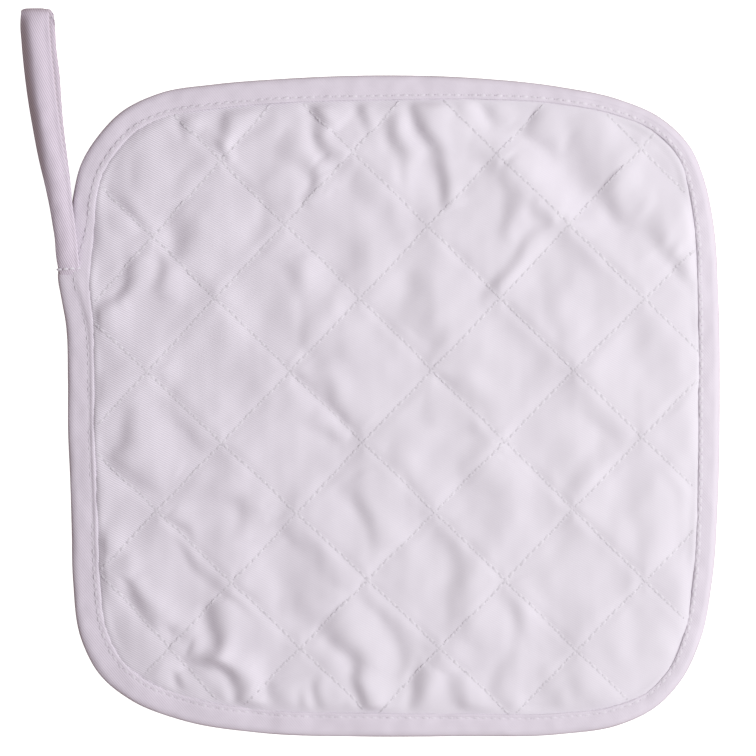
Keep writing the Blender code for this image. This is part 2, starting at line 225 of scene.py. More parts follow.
# The sewn edge by compass angle about its middle: place, angle, depth of the stitches' groove, depth of the
# wide dip outside it, how far the stitches stand out, how much the pad's edge is raised, and the lip's lift.
EDGE_MIDDLE = (7.0, -10.0)
EDGE_WORK = (
    ("right", 0, 0.02, 0.0, 0.35, 0.30, 0.0),
    ("right, high", 25, 0.02, 0.0, 0.35, 0.30, 0.0),
    ("top right corner", 48, 0.05, 0.0, 0.5, 0.15, 0.0),
    ("top, right", 70, 0.12, 0.05, 0.6, 0.0, 0.0),
    ("top, middle", 92, 0.16, 0.2, 0.6, -0.2, 0.0),
    ("top, left", 120, 0.12, 0.4, 0.5, -0.2, 0.0),
    ("top left corner", 133, 0.0, 0.05, 0.25, 0.7, 0.2),
    ("under the loop", 150, 0.0, 0.0, 0.1, 0.8, 0.25),
    ("foot of the loop", 158.5, 0.0, 0.0, 0.1, 0.8, 0.3),
    ("below the loop", 162, 0.3, 0.0, 0.1, 0.9, 0.35),
    ("left, high", 168, 0.2, 0.0, 0.1, 0.9, 0.35),
    ("left", 184, 0.32, 0.0, 0.1, 0.85, 0.35),
    ("left, low", 198, 0.32, 0.0, 0.1, 0.9, 0.35),
    ("bottom left corner, high", 210, 0.06, 0.0, 0.3, 0.85, 0.25),
    ("bottom left corner", 228, 0.1, 0.0, 0.5, 0.4, 0.05),
    ("bottom, left", 250, 0.3, 0.0, 0.7, 0.0, 0.0),
    ("bottom", 275, 0.4, 0.0, 0.8, 0.0, 0.0),
    ("bottom, right", 297, 0.4, 0.0, 0.8, 0.0, 0.0),
    ("bottom right corner", 318, 0.08, 0.0, 0.4, 0.15, 0.0),
    ("right, low", 335, 0.02, 0.0, 0.35, 0.30, 0.0),
)

# Quilting seams that fall to the right: place along v at u = 0, and how v grows with u.
# u runs down to the right and v up to the right, each at 45 degrees to the sides.
FALLING_SEAMS = (
    ("past the top right corner", 106.0 + SEAM_PITCH, 0.003),
    ("first", 106.0, 0.003),
    ("second", 74.3, 0.009),
    ("third", 44.1, 0.008),
    ("fourth", 14.1, 0.006),
    ("fifth", -16.2, 0.013),
    ("sixth", -45.8, 0.029),
    ("seventh", -74.4, 0.022),
    ("eighth", -100.7, -0.040),
    ("past the bottom left corner", -100.7 - SEAM_PITCH, -0.040),
)

# Quilting seams that rise to the right: place along u at v = 0, and how u grows with v.
RISING_SEAMS = (
    ("past the top left corner, second", -76.3 - 2 * SEAM_PITCH, -0.055),
    ("past the top left corner, first", -76.3 - SEAM_PITCH, -0.055),
    ("first", -76.3, -0.055),
    ("second", -49.3, -0.033),
    ("third", -17.6, -0.024),
    ("fourth", 13.2, -0.029),
    ("fifth", 43.6, -0.006),
    ("sixth", 73.0, -0.022),
    ("seventh", 103.5, -0.011),
    ("past the bottom right corner", 103.5 + SEAM_PITCH, -0.011),
)

# Creases in the pad's face: place, height, half width, and the line along which each one is steepest.
# Each is a soft step up towards the lit side.
CREASES = (
    ("top left, by the edge", 0.70, 2.0, ((-54.9, 78.5), (-54.5, 75.5), (-53.8, 73.8))),
    ("top left, second from the edge", 0.70, 2.2,
     ((-42.0, 81.0), (-42.3, 76.8), (-44.2, 72.3), (-46.5, 69.5))),
    ("top left, on the seam", 0.30, 1.5, ((-49.5, 69.8), (-46.0, 68.1), (-42.7, 63.6))),
    ("top left, along the rising seam", 0.35, 2.4, ((-39.0, 68.5), (-34.0, 73.0), (-29.0, 77.6))),
    ("top left corner, upper", 0.20, 2.0, ((-68.0, 74.0), (-65.5, 75.3), (-62.0, 74.5))),
    ("top left corner, lower", 0.25, 2.2, ((-69.0, 65.0), (-70.3, 61.0), (-70.0, 56.0))),
    ("top left corner, small", 0.20, 2.0, ((-57.9, 56.4), (-54.5, 60.2), (-51.0, 63.2))),
    ("top, second diamond, upper", 1.30, 3.0, ((-17.3, 82.5), (-15.8, 78.4), (-13.6, 74.8))),
    ("top, second diamond, lower", 0.90, 2.2, ((-16.6, 74.0), (-15.4, 70.0), (-13.0, 67.0), (-9.6, 64.6))),
    ("top, second diamond, hooked", 0.80, 2.1,
     ((-26.8, 67.3), (-22.2, 64.0), (-16.6, 61.2), (-16.4, 58.0), (-20.0, 54.0))),
    ("top, third diamond, short", 0.80, 1.8, ((-4.3, 83.5), (-2.6, 79.0), (-0.4, 75.8))),
    ("top, third diamond, lower", 1.00, 2.4, ((6.4, 76.5), (7.2, 70.5), (8.6, 66.5), (11.6, 63.6))),
    ("top, fourth diamond, upper", 1.20, 2.6, ((13.2, 82.8), (15.6, 77.0), (18.3, 70.5), (18.8, 67.5))),
    ("top, fourth diamond, lower", 1.00, 2.8, ((19.0, 65.5), (19.8, 60.5), (22.0, 56.0), (23.2, 51.2))),
    ("top, right of the fourth", 0.45, 1.9, ((24.5, 82.3), (27.7, 77.4))),
    ("top, fifth diamond", 0.90, 2.0, ((34.8, 82.6), (36.6, 79.0), (39.0, 76.2))),
    ("top, fifth diamond, lower", 0.50, 2.8, ((31.3, 68.5), (34.5, 65.5), (37.6, 62.6))),
    ("top right, first", 1.00, 2.7, ((48.0, 76.0), (51.5, 72.0), (56.6, 68.3))),
    ("top right, broad fall", -1.40, 5.8,
     ((31.0, 78.0), (40.0, 71.5), (52.0, 60.5), (62.0, 50.5), (80.0, 34.5))),
    ("top right, broad", 0.45, 3.3, ((61.4, 74.5), (64.4, 68.5), (63.9, 61.7), (66.4, 54.0))),
    ("top right corner, upper", 0.90, 3.8, ((70.4, 56.5), (73.0, 50.8), (79.0, 46.8))),
    ("top right corner, lower", 0.75, 3.2, ((80.5, 46.0), (86.6, 40.8), (90.4, 36.4))),
    ("top right corner, to the edge", 0.70, 2.4, ((91.0, 35.5), (95.5, 31.5), (98.8, 28.6))),
    ("upper right, by the seam", 0.50, 2.4, ((40.4, 59.5), (43.2, 55.5), (41.8, 50.0), (40.2, 42.0))),
    ("upper right, corner of a diamond", 0.50, 1.9, ((49.3, 50.3), (53.8, 46.5))),
    ("upper right, along the rising seam", 0.45, 1.9,
     ((54.0, 45.5), (47.5, 38.4), (42.2, 32.3), (34.5, 22.5))),
    ("left corner, falling", 0.35, 1.8, ((-77.6, 54.2), (-73.4, 51.0), (-69.3, 46.0))),
    ("left corner, short", 0.30, 2.2, ((-77.6, 46.0), (-76.2, 42.4))),
    ("left, second diamond, broad", 0.70, 3.3,
     ((-59.2, 47.5), (-56.0, 41.5), (-56.2, 36.0), (-57.5, 32.0))),
    ("left, second diamond, upright", 0.70, 2.2, ((-62.4, 35.2), (-62.6, 30.0), (-63.4, 25.2))),
    ("left, by the edge, upper", 0.70, 2.4, ((-71.5, 33.0), (-73.2, 27.0), (-76.4, 23.2))),
    ("left, by the edge, lower", 0.70, 2.6, ((-76.8, 22.8), (-81.0, 20.0), (-81.8, 16.8), (-80.6, 13.6))),
    ("third diamond, left", 0.35, 2.8, ((-33.6, 56.0), (-29.0, 50.5), (-29.6, 45.5), (-33.4, 40.6))),
    ("middle left, hooked, upper", 0.60, 2.9, ((-24.0, 33.4), (-22.4, 28.0), (-17.4, 23.4))),
    ("middle left, hooked, lower", 0.45, 2.9, ((-16.6, 22.6), (-15.6, 18.6), (-19.6, 11.0))),
    ("middle left, along the seam", 0.12, 1.8, ((-48.0, 26.0), (-41.5, 20.2))),
    ("middle, below the seam", 0.28, 2.8, ((-10.0, 15.5), (-9.6, 10.0), (-8.4, 4.4))),
    ("middle, upper", 0.40, 3.0, ((-4.4, 54.8), (1.0, 51.8), (5.0, 48.8), (5.8, 44.5), (4.6, 40.0))),
    ("middle, faint", 0.12, 3.4, ((-1.5, 44.0), (-2.0, 34.0))),
    ("middle right, broad", 0.42, 2.9, ((15.6, 30.0), (14.6, 22.0), (11.4, 15.2))),
    ("middle right, short", 0.15, 2.8, ((21.5, 13.0), (20.4, 6.5))),
    ("middle right, along the seam", 0.20, 2.4, ((26.0, 40.0), (33.0, 32.0))),
    ("right, upright", 0.38, 3.4, ((52.2, 33.4), (55.2, 27.0), (54.6, 20.0), (57.0, 14.5), (60.6, 10.5))),
    ("right, falling", 0.12, 2.0, ((43.2, 21.0), (50.0, 14.8))),
    ("middle, along the falling seam, upper", 0.60, 2.4,
     ((-24.2, 1.6), (-17.0, -3.8), (-11.0, -8.2), (-3.8, -16.4))),
    ("middle, under the seam", 0.45, 2.3, ((-17.4, -15.2), (-13.4, -19.4), (-9.0, -21.4))),
    ("middle right, along the falling seam", 0.40, 2.5,
     ((21.4, -0.4), (29.0, -5.6), (35.6, -11.0), (39.0, -17.2))),
    ("left, short", 0.30, 2.7, ((-64.0, 0.4), (-61.6, -3.4))),
    ("left, by the binding", 0.25, 2.4, ((-83.6, -3.0), (-82.4, -9.0))),
    ("lower left, hooked, upper", 0.55, 3.0, ((-71.8, -11.0), (-73.2, -18.6), (-77.0, -23.6))),
    ("lower left, hooked, lower", 0.80, 2.8,
     ((-78.0, -25.4), (-74.8, -29.0), (-70.0, -31.4), (-63.0, -34.6))),
    ("lower left, falling", 0.30, 2.3, ((-59.0, -13.0), (-54.0, -16.6), (-49.4, -22.6))),
    ("lower left, level", 0.65, 3.0,
     ((-59.0, -36.6), (-50.0, -37.4), (-42.4, -38.4), (-37.6, -42.4), (-39.2, -48.6))),
    ("lower left, on the seam", 0.45, 2.1, ((-59.4, -43.8), (-53.6, -48.4))),
    ("lower left, along the falling seam", 0.30, 1.8,
     ((-58.8, -51.8), (-51.8, -58.8), (-45.0, -64.2), (-36.0, -72.6))),
    ("lower left, beside it", 0.30, 2.0, ((-39.4, -62.4), (-31.4, -69.2))),
    ("lower left, by the edge", 0.35, 2.3, ((-82.0, -48.6), (-79.6, -54.0))),
    ("bottom left, small", 0.35, 2.1, ((-74.8, -55.4), (-76.0, -60.0))),
    ("bottom left, upright", 1.00, 2.6, ((-71.8, -62.6), (-68.8, -69.0), (-66.8, -75.6))),
    ("bottom left, falling", 0.50, 2.1, ((-62.6, -74.4), (-57.9, -78.5), (-54.0, -80.2))),
    ("bottom left, forked, upper", 0.95, 2.2,
     ((-47.4, -71.4), (-46.4, -77.4), (-47.6, -83.4), (-50.4, -86.4))),
    ("bottom left, forked, lower", 1.50, 2.4,
     ((-52.6, -86.6), (-44.4, -89.4), (-39.8, -92.4), (-37.7, -96.0), (-38.7, -100.4))),
    ("bottom left, level", 0.40, 2.1, ((-59.0, -84.4), (-53.0, -85.4))),
    ("bottom left, dimple", 0.60, 1.8, ((-56.7, -91.6), (-56.9, -96.4))),
    ("bottom, first gather", 0.60, 2.0, ((-28.6, -94.6), (-27.6, -101.0))),
    ("bottom, second gather", 0.30, 1.5, ((-20.9, -98.4), (-20.5, -102.0))),
    ("bottom, third gather", 0.55, 1.9, ((-15.2, -94.2), (-12.6, -100.6))),
    ("bottom middle, long, upper", 0.95, 2.9,
     ((-12.8, -76.6), (-7.8, -81.4), (-3.3, -86.0), (-2.0, -90.4))),
    ("bottom middle, long, lower", 0.80, 2.3, ((-2.6, -91.6), (-3.2, -95.2), (-0.8, -101.6))),
    ("lower middle, broad", 0.65, 3.0, ((-5.8, -33.2), (-3.4, -40.2), (0.5, -46.2), (4.0, -51.6))),
    ("lower middle, along the falling seam", 0.35, 2.4,
     ((-26.6, -45.4), (-19.2, -52.8), (-12.4, -60.0), (-6.0, -65.2))),
    ("lower middle, beyond the crossing", 0.35, 2.0,
     ((-2.5, -67.9), (5.0, -73.8), (9.3, -80.4), (11.0, -89.4))),
    ("lower middle, short", 0.35, 2.5, ((-21.4, -72.0), (-15.0, -75.0))),
    ("right of the middle, hooked", 0.40, 2.8,
     ((17.4, -13.8), (24.0, -15.8), (31.0, -16.6), (34.8, -19.6), (28.0, -28.8))),
    ("below the middle, along the seam", 0.15, 2.0, ((5.5, -24.7), (15.4, -35.3))),
    ("right, hooked, upper", 0.30, 2.6, ((65.4, -8.8), (71.0, -14.4), (75.2, -19.2))),
    ("right, hooked, lower", 0.40, 2.8, ((71.6, -23.4), (66.4, -28.0), (60.0, -37.8))),
    ("right, small", 0.12, 2.4, ((42.8, -31.6), (40.6, -36.4))),
    ("right edge, small", 0.20, 2.3, ((89.0, -30.4), (93.6, -36.6))),
    ("right edge, broad", 0.20, 3.3, ((78.0, -41.0), (82.0, -46.0), (83.6, -53.0))),
    ("lower right, first", 0.15, 2.4, ((77.2, -59.6), (75.0, -66.4))),
    ("lower right, second", 0.25, 3.2, ((82.8, -72.4), (82.8, -83.0))),
    ("bottom, fourth diamond, broad", 0.60, 3.6,
     ((21.0, -50.0), (24.8, -55.4), (27.6, -61.6), (26.2, -69.0), (24.2, -77.4))),
    ("bottom, fifth diamond, upper", 0.55, 2.9, ((41.6, -66.0), (45.6, -73.2), (45.0, -81.0))),
    ("bottom, fifth diamond, lower", 0.50, 2.8,
     ((44.4, -82.6), (41.6, -89.4), (39.6, -96.4), (41.4, -102.0))),
    ("bottom, fourth gather", 0.80, 2.2, ((17.4, -89.8), (14.8, -94.6), (13.8, -102.4))),
    ("bottom, fifth gather", 0.60, 2.4, ((25.4, -91.6), (26.0, -100.0))),
    ("bottom right, first", 0.20, 3.0, ((61.6, -88.6), (64.2, -97.0))),
    ("bottom right, second", 0.20, 2.0, ((55.2, -97.0), (56.6, -101.6))),
)

# The binding's section, once round: place, how far in from the fold as a length plus a share of the
# width, and the height.
BINDING_SECTION = (
    ("fold, middle", 0.0, 0.0, 1.65),
    ("fold, upper", 0.35, 0.0, 2.7),
    ("fold, shoulder", 1.3, 0.0, 3.24),
    ("top, middle", 0.3, 0.4, 3.42),
    ("top, before the stitches", -2.6, 1.0, 3.42),
    ("top, at the stitches", -1.5, 1.0, 3.40),
    ("lip, top", -0.5, 1.0, 3.36),
    ("lip, edge", -0.05, 1.0, 3.18),
    ("lip, under its edge", -0.1, 1.0, 2.65),
    ("lip, underside", -0.9, 1.0, 2.5),
    ("slot, upper end", 1.4, 0.0, 2.45),
    ("slot, end", 1.05, 0.0, 1.65),
    ("slot, lower end", 1.4, 0.0, 0.85),
    ("lower lip, upper side", -0.9, 1.0, 0.85),
    ("lower lip, over its edge", -0.1, 1.0, 0.75),
    ("lower lip, edge", -0.05, 1.0, 0.4),
    ("lower lip, bottom", -0.6, 1.0, 0.05),
    ("lower stitch groove", -1.35, 1.0, 0.3),
    ("bottom, before the stitches", -2.3, 1.0, 0.02),
    ("bottom, middle", 0.3, 0.4, 0.0),
    ("bottom, by the fold", 1.5, 0.0, 0.05),
    ("fold, lower", 0.35, 0.0, 0.6),
)

# The loop, from its sewn end, up, over and back under: place, y, left and right edge, height of the tape's
# middle, thickness at its folded left side, thickness at its sewn right side, and how far the left side
# hangs down.
LOOP_RUN = (
    ("upper end, under the stitches", 29.0, -93.3, -88.6, 2.60, 0.6, 0.6, 0.0),
    ("upper, at the bar tack", 31.6, -94.0, -87.6, 3.75, 1.0, 0.7, 0.1),
    ("upper, on the binding, low", 35.8, -94.6, -87.7, 5.15, 1.4, 0.9, 0.2),
    ("upper, on the binding, middle", 40.3, -94.9, -88.1, 5.45, 1.5, 0.9, 0.2),
    ("upper, on the binding, high", 45.5, -95.7, -88.7, 5.50, 1.6, 0.9, 0.2),
    ("upper, by the corner", 50.6, -96.6, -89.4, 5.50, 1.7, 0.9, 0.3),
    ("upper, past the corner", 56.1, -97.8, -89.9, 5.55, 1.8, 1.0, 0.6),
    ("upper, low", 64.5, -99.9, -91.4, 5.80, 1.9, 1.0, 2.0),
    ("upper, lower middle", 73.6, -101.75, -92.8, 6.10, 1.9, 1.0, 3.4),
    ("upper, middle", 82.7, -103.3, -94.0, 6.45, 1.9, 1.0, 4.0),
    ("upper, upper middle", 90.0, -104.25, -94.8, 6.65, 1.9, 1.0, 4.1),
    ("upper, high", 99.1, -105.1, -95.7, 6.85, 1.8, 1.0, 3.7),
    ("fold, start", 105.6, -105.4, -96.2, 6.80, 1.6, 1.0, 2.4),
    ("fold, upper quarter", 108.7, -105.1, -96.3, 6.05, 1.2, 1.0, 0.5),
    ("fold, tip", 109.6, -105.1, -96.2, 3.85, 1.1, 1.0, 0.0),
    ("fold, lower quarter", 108.7, -104.8, -95.5, 1.65, 1.1, 1.1, 0.0),
    ("fold, end", 105.6, -104.3, -95.1, 0.88, 1.2, 1.2, 0.0),
    ("lower, high", 99.1, -103.6, -94.7, 0.86, 1.2, 1.2, 0.0),
    ("lower, upper middle", 90.0, -102.8, -93.6, 0.86, 1.2, 1.2, 0.0),
    ("lower, middle", 82.7, -102.0, -93.1, 0.92, 1.2, 1.2, 0.0),
    ("lower, lower middle", 75.6, -101.0, -92.5, 1.20, 1.2, 1.2, 0.0),
    ("lower, low", 66.5, -99.4, -91.3, 2.70, 1.1, 1.1, 0.0),
    ("lower, past the corner", 58.1, -97.7, -90.2, 3.90, 1.0, 1.0, 0.0),
    ("lower, by the corner", 50.6, -96.3, -89.7, 4.10, 0.9, 0.9, 0.0),
    ("lower, on the binding, high", 45.5, -95.5, -88.9, 4.10, 0.9, 0.9, 0.0),
    ("lower, on the binding, middle", 40.3, -94.7, -88.3, 4.00, 0.8, 0.8, 0.0),
    ("lower end, under the stitches", 33.0, -93.9, -88.2, 3.60, 0.6, 0.6, 0.0),
)

# The tape's section, once round: place, how far across from left, how far through from the loop's inside,
# and the shares of the folded side's extra thickness and of its hang.
TAPE_SECTION = (
    ("inner face, left", 0.12, 0.0, 0.0, 0.66),
    ("inner face, middle left", 0.30, 0.0, 0.0, 0.22),
    ("inner face, middle", 0.60, 0.0, 0.0, 0.0),
    ("inner face, right", 0.93, 0.0, 0.0, 0.0),
    ("sewn edge, lower", 0.99, 0.2, 0.0, 0.0),
    ("sewn edge, upper", 0.99, 0.75, 0.0, 0.0),
    ("outer face, right", 0.94, 0.98, 0.0, 0.0),
    ("outer face, stitches", 0.85, 0.94, 0.1, 0.0),
    ("outer face, inside the stitches", 0.76, 1.05, 0.3, 0.0),
    ("outer face, fold's slope", 0.64, 1.05, 0.75, 0.0),
    ("outer face, fold's top", 0.50, 1.05, 1.0, 0.0),
    ("outer face, fold's shoulder", 0.37, 1.05, 0.95, 0.03),
    ("outer face, fold's side", 0.23, 1.0, 0.74, 0.24),
    ("folded edge, upper", 0.11, 0.85, 0.38, 0.62),
    ("folded edge, side", 0.03, 0.6, 0.10, 0.90),
    ("folded edge, middle", 0.00, 0.3, 0.0, 1.0),
    ("folded edge, lower", 0.04, 0.08, 0.0, 0.90),
)

# The straight line of stitches across the loop's foot, and the thread ends that stand out at its tip.
BAR_TACK = (
    ("left end", -94.6, 31.2, 4.05),
    ("over the fold", -92.0, 31.4, 4.62),
    ("by the sewn side", -89.2, 31.6, 4.42),
    ("off the loop", -87.3, 31.8, 3.80),
    ("right end", -84.9, 32.0, 3.42),
)
FRAYED_ENDS = (
    ("first", (-97.2, 108.6), (-96.0, 109.2), (-95.2, 108.3)),
    ("second", (-97.0, 107.9), (-95.9, 107.9), (-95.0, 106.6)),
    ("third", (-96.7, 106.9), (-95.7, 107.4), (-94.9, 105.2)),
    ("fourth", (-96.9, 108.2), (-96.2, 108.9), (-95.6, 107.2)),
)

# A stitch, from end to end: place, share of its length from its middle, how far it dips, and its thickness.
STITCH_SHAPE = (
    ("end", -0.50, -0.16, 0.45),
    ("shoulder", -0.36, -0.03, 0.8),
    ("middle, first", -0.15, 0.0, 1.0),
    ("middle, second", 0.15, 0.0, 1.0),
    ("other shoulder", 0.36, -0.03, 0.8),
    ("other end", 0.50, -0.16, 0.45),
)

# Half a stitch's section is above the cloth: place, share of the radius across, and share of the height.
STITCH_SECTION = (
    ("right side", 1.0, -0.5),
    ("right shoulder", 0.8, 0.35),
    ("right of the top", 0.4, 0.85),
    ("top", 0.0, 1.0),
    ("left of the top", -0.4, 0.85),
    ("left shoulder", -0.8, 0.35),
    ("left side", -1.0, -0.5),
    ("bottom", 0.0, -1.5),
)


def numbers(table):
    """The table's rows as an array, without the names of the places."""
    return np.array([row[1:] for row in table], float)


def smooth_curve(points, keys, places, closed):
    """Rows of values at these places on a smooth curve that passes through each of points at its key."""
    if closed:
        lap = keys[-1]
        keys = np.concatenate([keys[-3:-1] - lap, keys, keys[1:3] + lap])
        points = np.vstack([points[-3:-1], points, points[1:3]])
    gaps = np.diff(keys)[:, None]
    slopes = np.diff(points, axis=0) / gaps
    inner = (slopes[:-1] * gaps[1:] + slopes[1:] * gaps[:-1]) / (gaps[:-1] + gaps[1:])
    tangents = np.vstack([slopes[:1], inner, slopes[-1:]])
    left = np.clip(np.searchsorted(keys, places, side="right") - 1, 0, len(keys) - 2)
    span = (keys[left + 1] - keys[left])[:, None]
    t = (places - keys[left])[:, None] / span
    return (
        (2 * t**3 - 3 * t**2 + 1) * points[left]
        + (t**3 - 2 * t**2 + t) * span * tangents[left]
        + (3 * t**2 - 2 * t**3) * points[left + 1]
        + (t**3 - t**2) * span * tangents[left + 1]
    )


def running_length(places):
    """How far along the line of places each one is."""
    steps = np.linalg.norm(np.diff(places, axis=0), axis=1)
    return np.concatenate([[0.0], np.cumsum(steps)])


def evenly_spaced(rows, place_columns, count, closed):
    """count rows of values, evenly spaced along the smooth curve through these rows."""
    if closed:
        rows = np.vstack([rows, rows[:1]])
    keys = running_length(rows[:, place_columns])
    fine_keys = np.linspace(0.0, keys[-1], 20 * len(rows))
    fine = smooth_curve(rows, keys, fine_keys, closed)
    lengths = running_length(fine[:, place_columns])
    wanted = np.linspace(0.0, lengths[-1], count, endpoint=not closed)
    return smooth_curve(rows, keys, np.interp(wanted, lengths, fine_keys), closed)


def ring_stations(count):
    """Evenly spaced stations round the outline: place, inward direction and the binding's width."""
    rows = evenly_spaced(numbers(OUTLINE), [0, 1], count, closed=True)
    places = rows[:, :2]
    along = np.roll(places, -1, axis=0) - np.roll(places, 1, axis=0)
    along /= np.linalg.norm(along, axis=1)[:, None]
    # The outline runs clockwise, so inward is to the right of the way it runs.
    inward = np.column_stack([along[:, 1], -along[:, 0]])
    return places, inward, rows[:, 2]


def soft_noise(seed, size, waves=28):
    """A smooth random field over (x, y), about one unit high, with lumps of about this size in mm."""
    random = np.random.default_rng(seed)
    angles = random.uniform(0, 2 * math.pi, waves)
    lengths = 2 * size * random.uniform(0.7, 1.6, waves)
    phases = random.uniform(0, 2 * math.pi, waves)

    def field(x, y):
        total = np.zeros(np.shape(x))
        for angle, length, phase in zip(angles, lengths, phases):
            total += np.sin((x * math.cos(angle) + y * math.sin(angle)) * 2 * math.pi / length + phase)
        return total / math.sqrt(waves / 2)

    return field


SHIFT_X = soft_noise(9, 8)
SHIFT_Y = soft_noise(10, 8)
BROAD_WAVES = soft_noise(11, 14)
CLOTH_WAVES = soft_noise(12, 6.5)
FINE_WAVES = soft_noise(13, 2.6)
SEAM_WAVES = soft_noise(14, 12)
UNDER_WAVES = soft_noise(15, 9)
TAPE_WAVES = soft_noise(21, 9)
TAPE_RIPPLES = soft_noise(22, 2.4)


def smooth_step(value):
    value = np.clip(value, 0.0, 1.0)
    return value * value * (3 - 2 * value)


def distance_inside(x, y, ring):
    """Distance of each (x, y) to the closed ring, negative outside it."""
    result = np.empty(len(x))
    ends = np.roll(ring, -1, axis=0)
    spans = ends - ring
    lengths = (spans**2).sum(axis=1)
    safe_rise = np.where(spans[:, 1] == 0, 1.0, spans[:, 1])
    for start in range(0, len(x), 4000):
        px = x[start : start + 4000, None]
        py = y[start : start + 4000, None]
        share = ((px - ring[:, 0]) * spans[:, 0] + (py - ring[:, 1]) * spans[:, 1]) / lengths
        share = np.clip(share, 0, 1)
        away_x = px - ring[:, 0] - spans[:, 0] * share
        away_y = py - ring[:, 1] - spans[:, 1] * share
        distance = np.sqrt((away_x**2 + away_y**2).min(axis=1))
        crosses = (ring[:, 1] > py) != (ends[:, 1] > py)
        meets = ring[:, 0] + (py - ring[:, 1]) * spans[:, 0] / safe_rise
        inside = (crosses & (meets > px)).sum(axis=1) % 2 == 1
        result[start : start + 4000] = np.where(inside, distance, -distance)
    return result


def inner_ring():
    """The line of the binding's inner edge."""
    places, inward, widths = ring_stations(INNER_RING_STATIONS)
    return places + inward * widths[:, None]


INNER_RING = inner_ring()


def edge_work(x, y):
    """Groove, dip, stitches, pad's rise and lip's lift of the sewn edge in the direction of (x, y)."""
    table = numbers(EDGE_WORK)
    angles = np.degrees(np.arctan2(y - EDGE_MIDDLE[1], x - EDGE_MIDDLE[0]))
    return [np.interp(angles, table[:, 0], column, period=360) for column in table[:, 1:].T]


def seam_meeting(falling, rising):
    """(x, y) where two seams meet. A fraction names a line between two neighbouring seams."""
    fall = numbers(FALLING_SEAMS)
    rise = numbers(RISING_SEAMS)
    v_start, v_slope = (np.interp(falling, range(len(fall)), fall[:, i]) for i in (0, 1))
    u_start, u_slope = (np.interp(rising, range(len(rise)), rise[:, i]) for i in (0, 1))
    v = (v_start + v_slope * u_start) / (1 - v_slope * u_slope)
    u = u_start + u_slope * v
    return (u + v) / math.sqrt(2), (v - u) / math.sqrt(2)


def seam_distance(lattice):
    """Distance in mm from the nearest seam of one of the two sets."""
    return np.abs(lattice - np.round(lattice)) * SEAM_PITCH


def cell_relief(falling, rising, depth):
    """Height above the seams: a narrow furrow along each, a roll of cloth beside it, and a low crown."""
    across, along = seam_distance(falling), seam_distance(rising)
    furrows = np.maximum(np.exp(-((across / FURROW_WIDTH) ** 2)), np.exp(-((along / FURROW_WIDTH) ** 2)))
    rolls = np.exp(-np.hypot(across, 1) / SEAM_ROLL_WIDTH) + np.exp(-np.hypot(along, 1) / SEAM_ROLL_WIDTH)
    crown = np.abs(np.sin(math.pi * falling) * np.sin(math.pi * rising)) ** CROWN_POWER
    return FURROW_DEPTH * (1 - furrows) * depth + SEAM_ROLL * (rolls - 1) * depth + CROWN_RISE * crown


def cell_puff(falling, rising):
    """How full the diamond is below: 0 on a seam and 1 in the middle."""
    across = (falling % 1) * (1 - falling % 1) * 4
    along = (rising % 1) * (1 - rising % 1) * 4
    return (across * along) ** PUFF_POWER


def crease_line(corners):
    """The crease's line, rounded through its corners and run on a little at both ends."""
    corners = np.array(corners, float)
    ends = np.array([corners[0] - corners[1], corners[-1] - corners[-2]])
    ends *= CREASE_RUN_ON / np.linalg.norm(ends, axis=1)[:, None]
    corners = np.vstack([corners[0] + ends[0], corners[1:-1], corners[-1] + ends[1]])
    count = max(4, int(running_length(corners)[-1] / CREASE_SPACING))
    return evenly_spaced(corners, [0, 1], count, closed=False)


def one_crease(x, y, height, width, corners):
    """A soft step across the crease's line, a little low before it and high on its lit side."""
    line = crease_line(corners)
    spans = np.diff(line, axis=0)
    lengths = np.linalg.norm(spans, axis=1)
    normals = np.column_stack([-spans[:, 1], spans[:, 0]])
    if (normals @ LIT_SIDE).sum() < 0:
        normals = -normals
    normals /= lengths[:, None]
    done = np.concatenate([[0.0], np.cumsum(lengths)])
    px = x[:, None] - line[:-1, 0]
    py = y[:, None] - line[:-1, 1]
    share = np.clip((px * spans[:, 0] + py * spans[:, 1]) / lengths**2, 0, 1)
    away = (px - share * spans[:, 0]) ** 2 + (py - share * spans[:, 1]) ** 2
    nearest = away.argmin(axis=1)
    rows = np.arange(len(x))
    side = px[rows, nearest] * normals[nearest, 0] + py[rows, nearest] * normals[nearest, 1]
    side = side / width + LOW_SIDE_SHIFT
    stretch = np.where(side > 0, HIGH_SIDE, LOW_SIDE)
    profile = side * np.exp(0.5 - (side / stretch) ** 2 / 2) * np.where(side > 0, 1.0, LOW_SIDE_SHARE)
    along = (done[nearest] + share[rows, nearest] * lengths[nearest]) / done[-1]
    beyond = np.sqrt(np.clip(away[rows, nearest] - (side - LOW_SIDE_SHIFT) ** 2 * width**2, 0, None))
    fade = np.sqrt(np.clip(np.sin(math.pi * along), 0, 1)) * np.exp(-((beyond / width) ** 2))
    return height * fade * profile


def crease_heights(x, y):
    x, y = x + CREASE_SHIFT * SHIFT_X(x, y), y + CREASE_SHIFT * SHIFT_Y(x, y)
    total = np.zeros(len(x))
    for _, height, width, corners in CREASES:
        reach = 5 * width + 2
        low = np.min(corners, axis=0) - reach
        high = np.max(corners, axis=0) + reach
        near = (x > low[0]) & (x < high[0]) & (y > low[1]) & (y < high[1])
        total[near] += one_crease(x[near], y[near], height, width, corners)
    return CREASE_STRENGTH * total


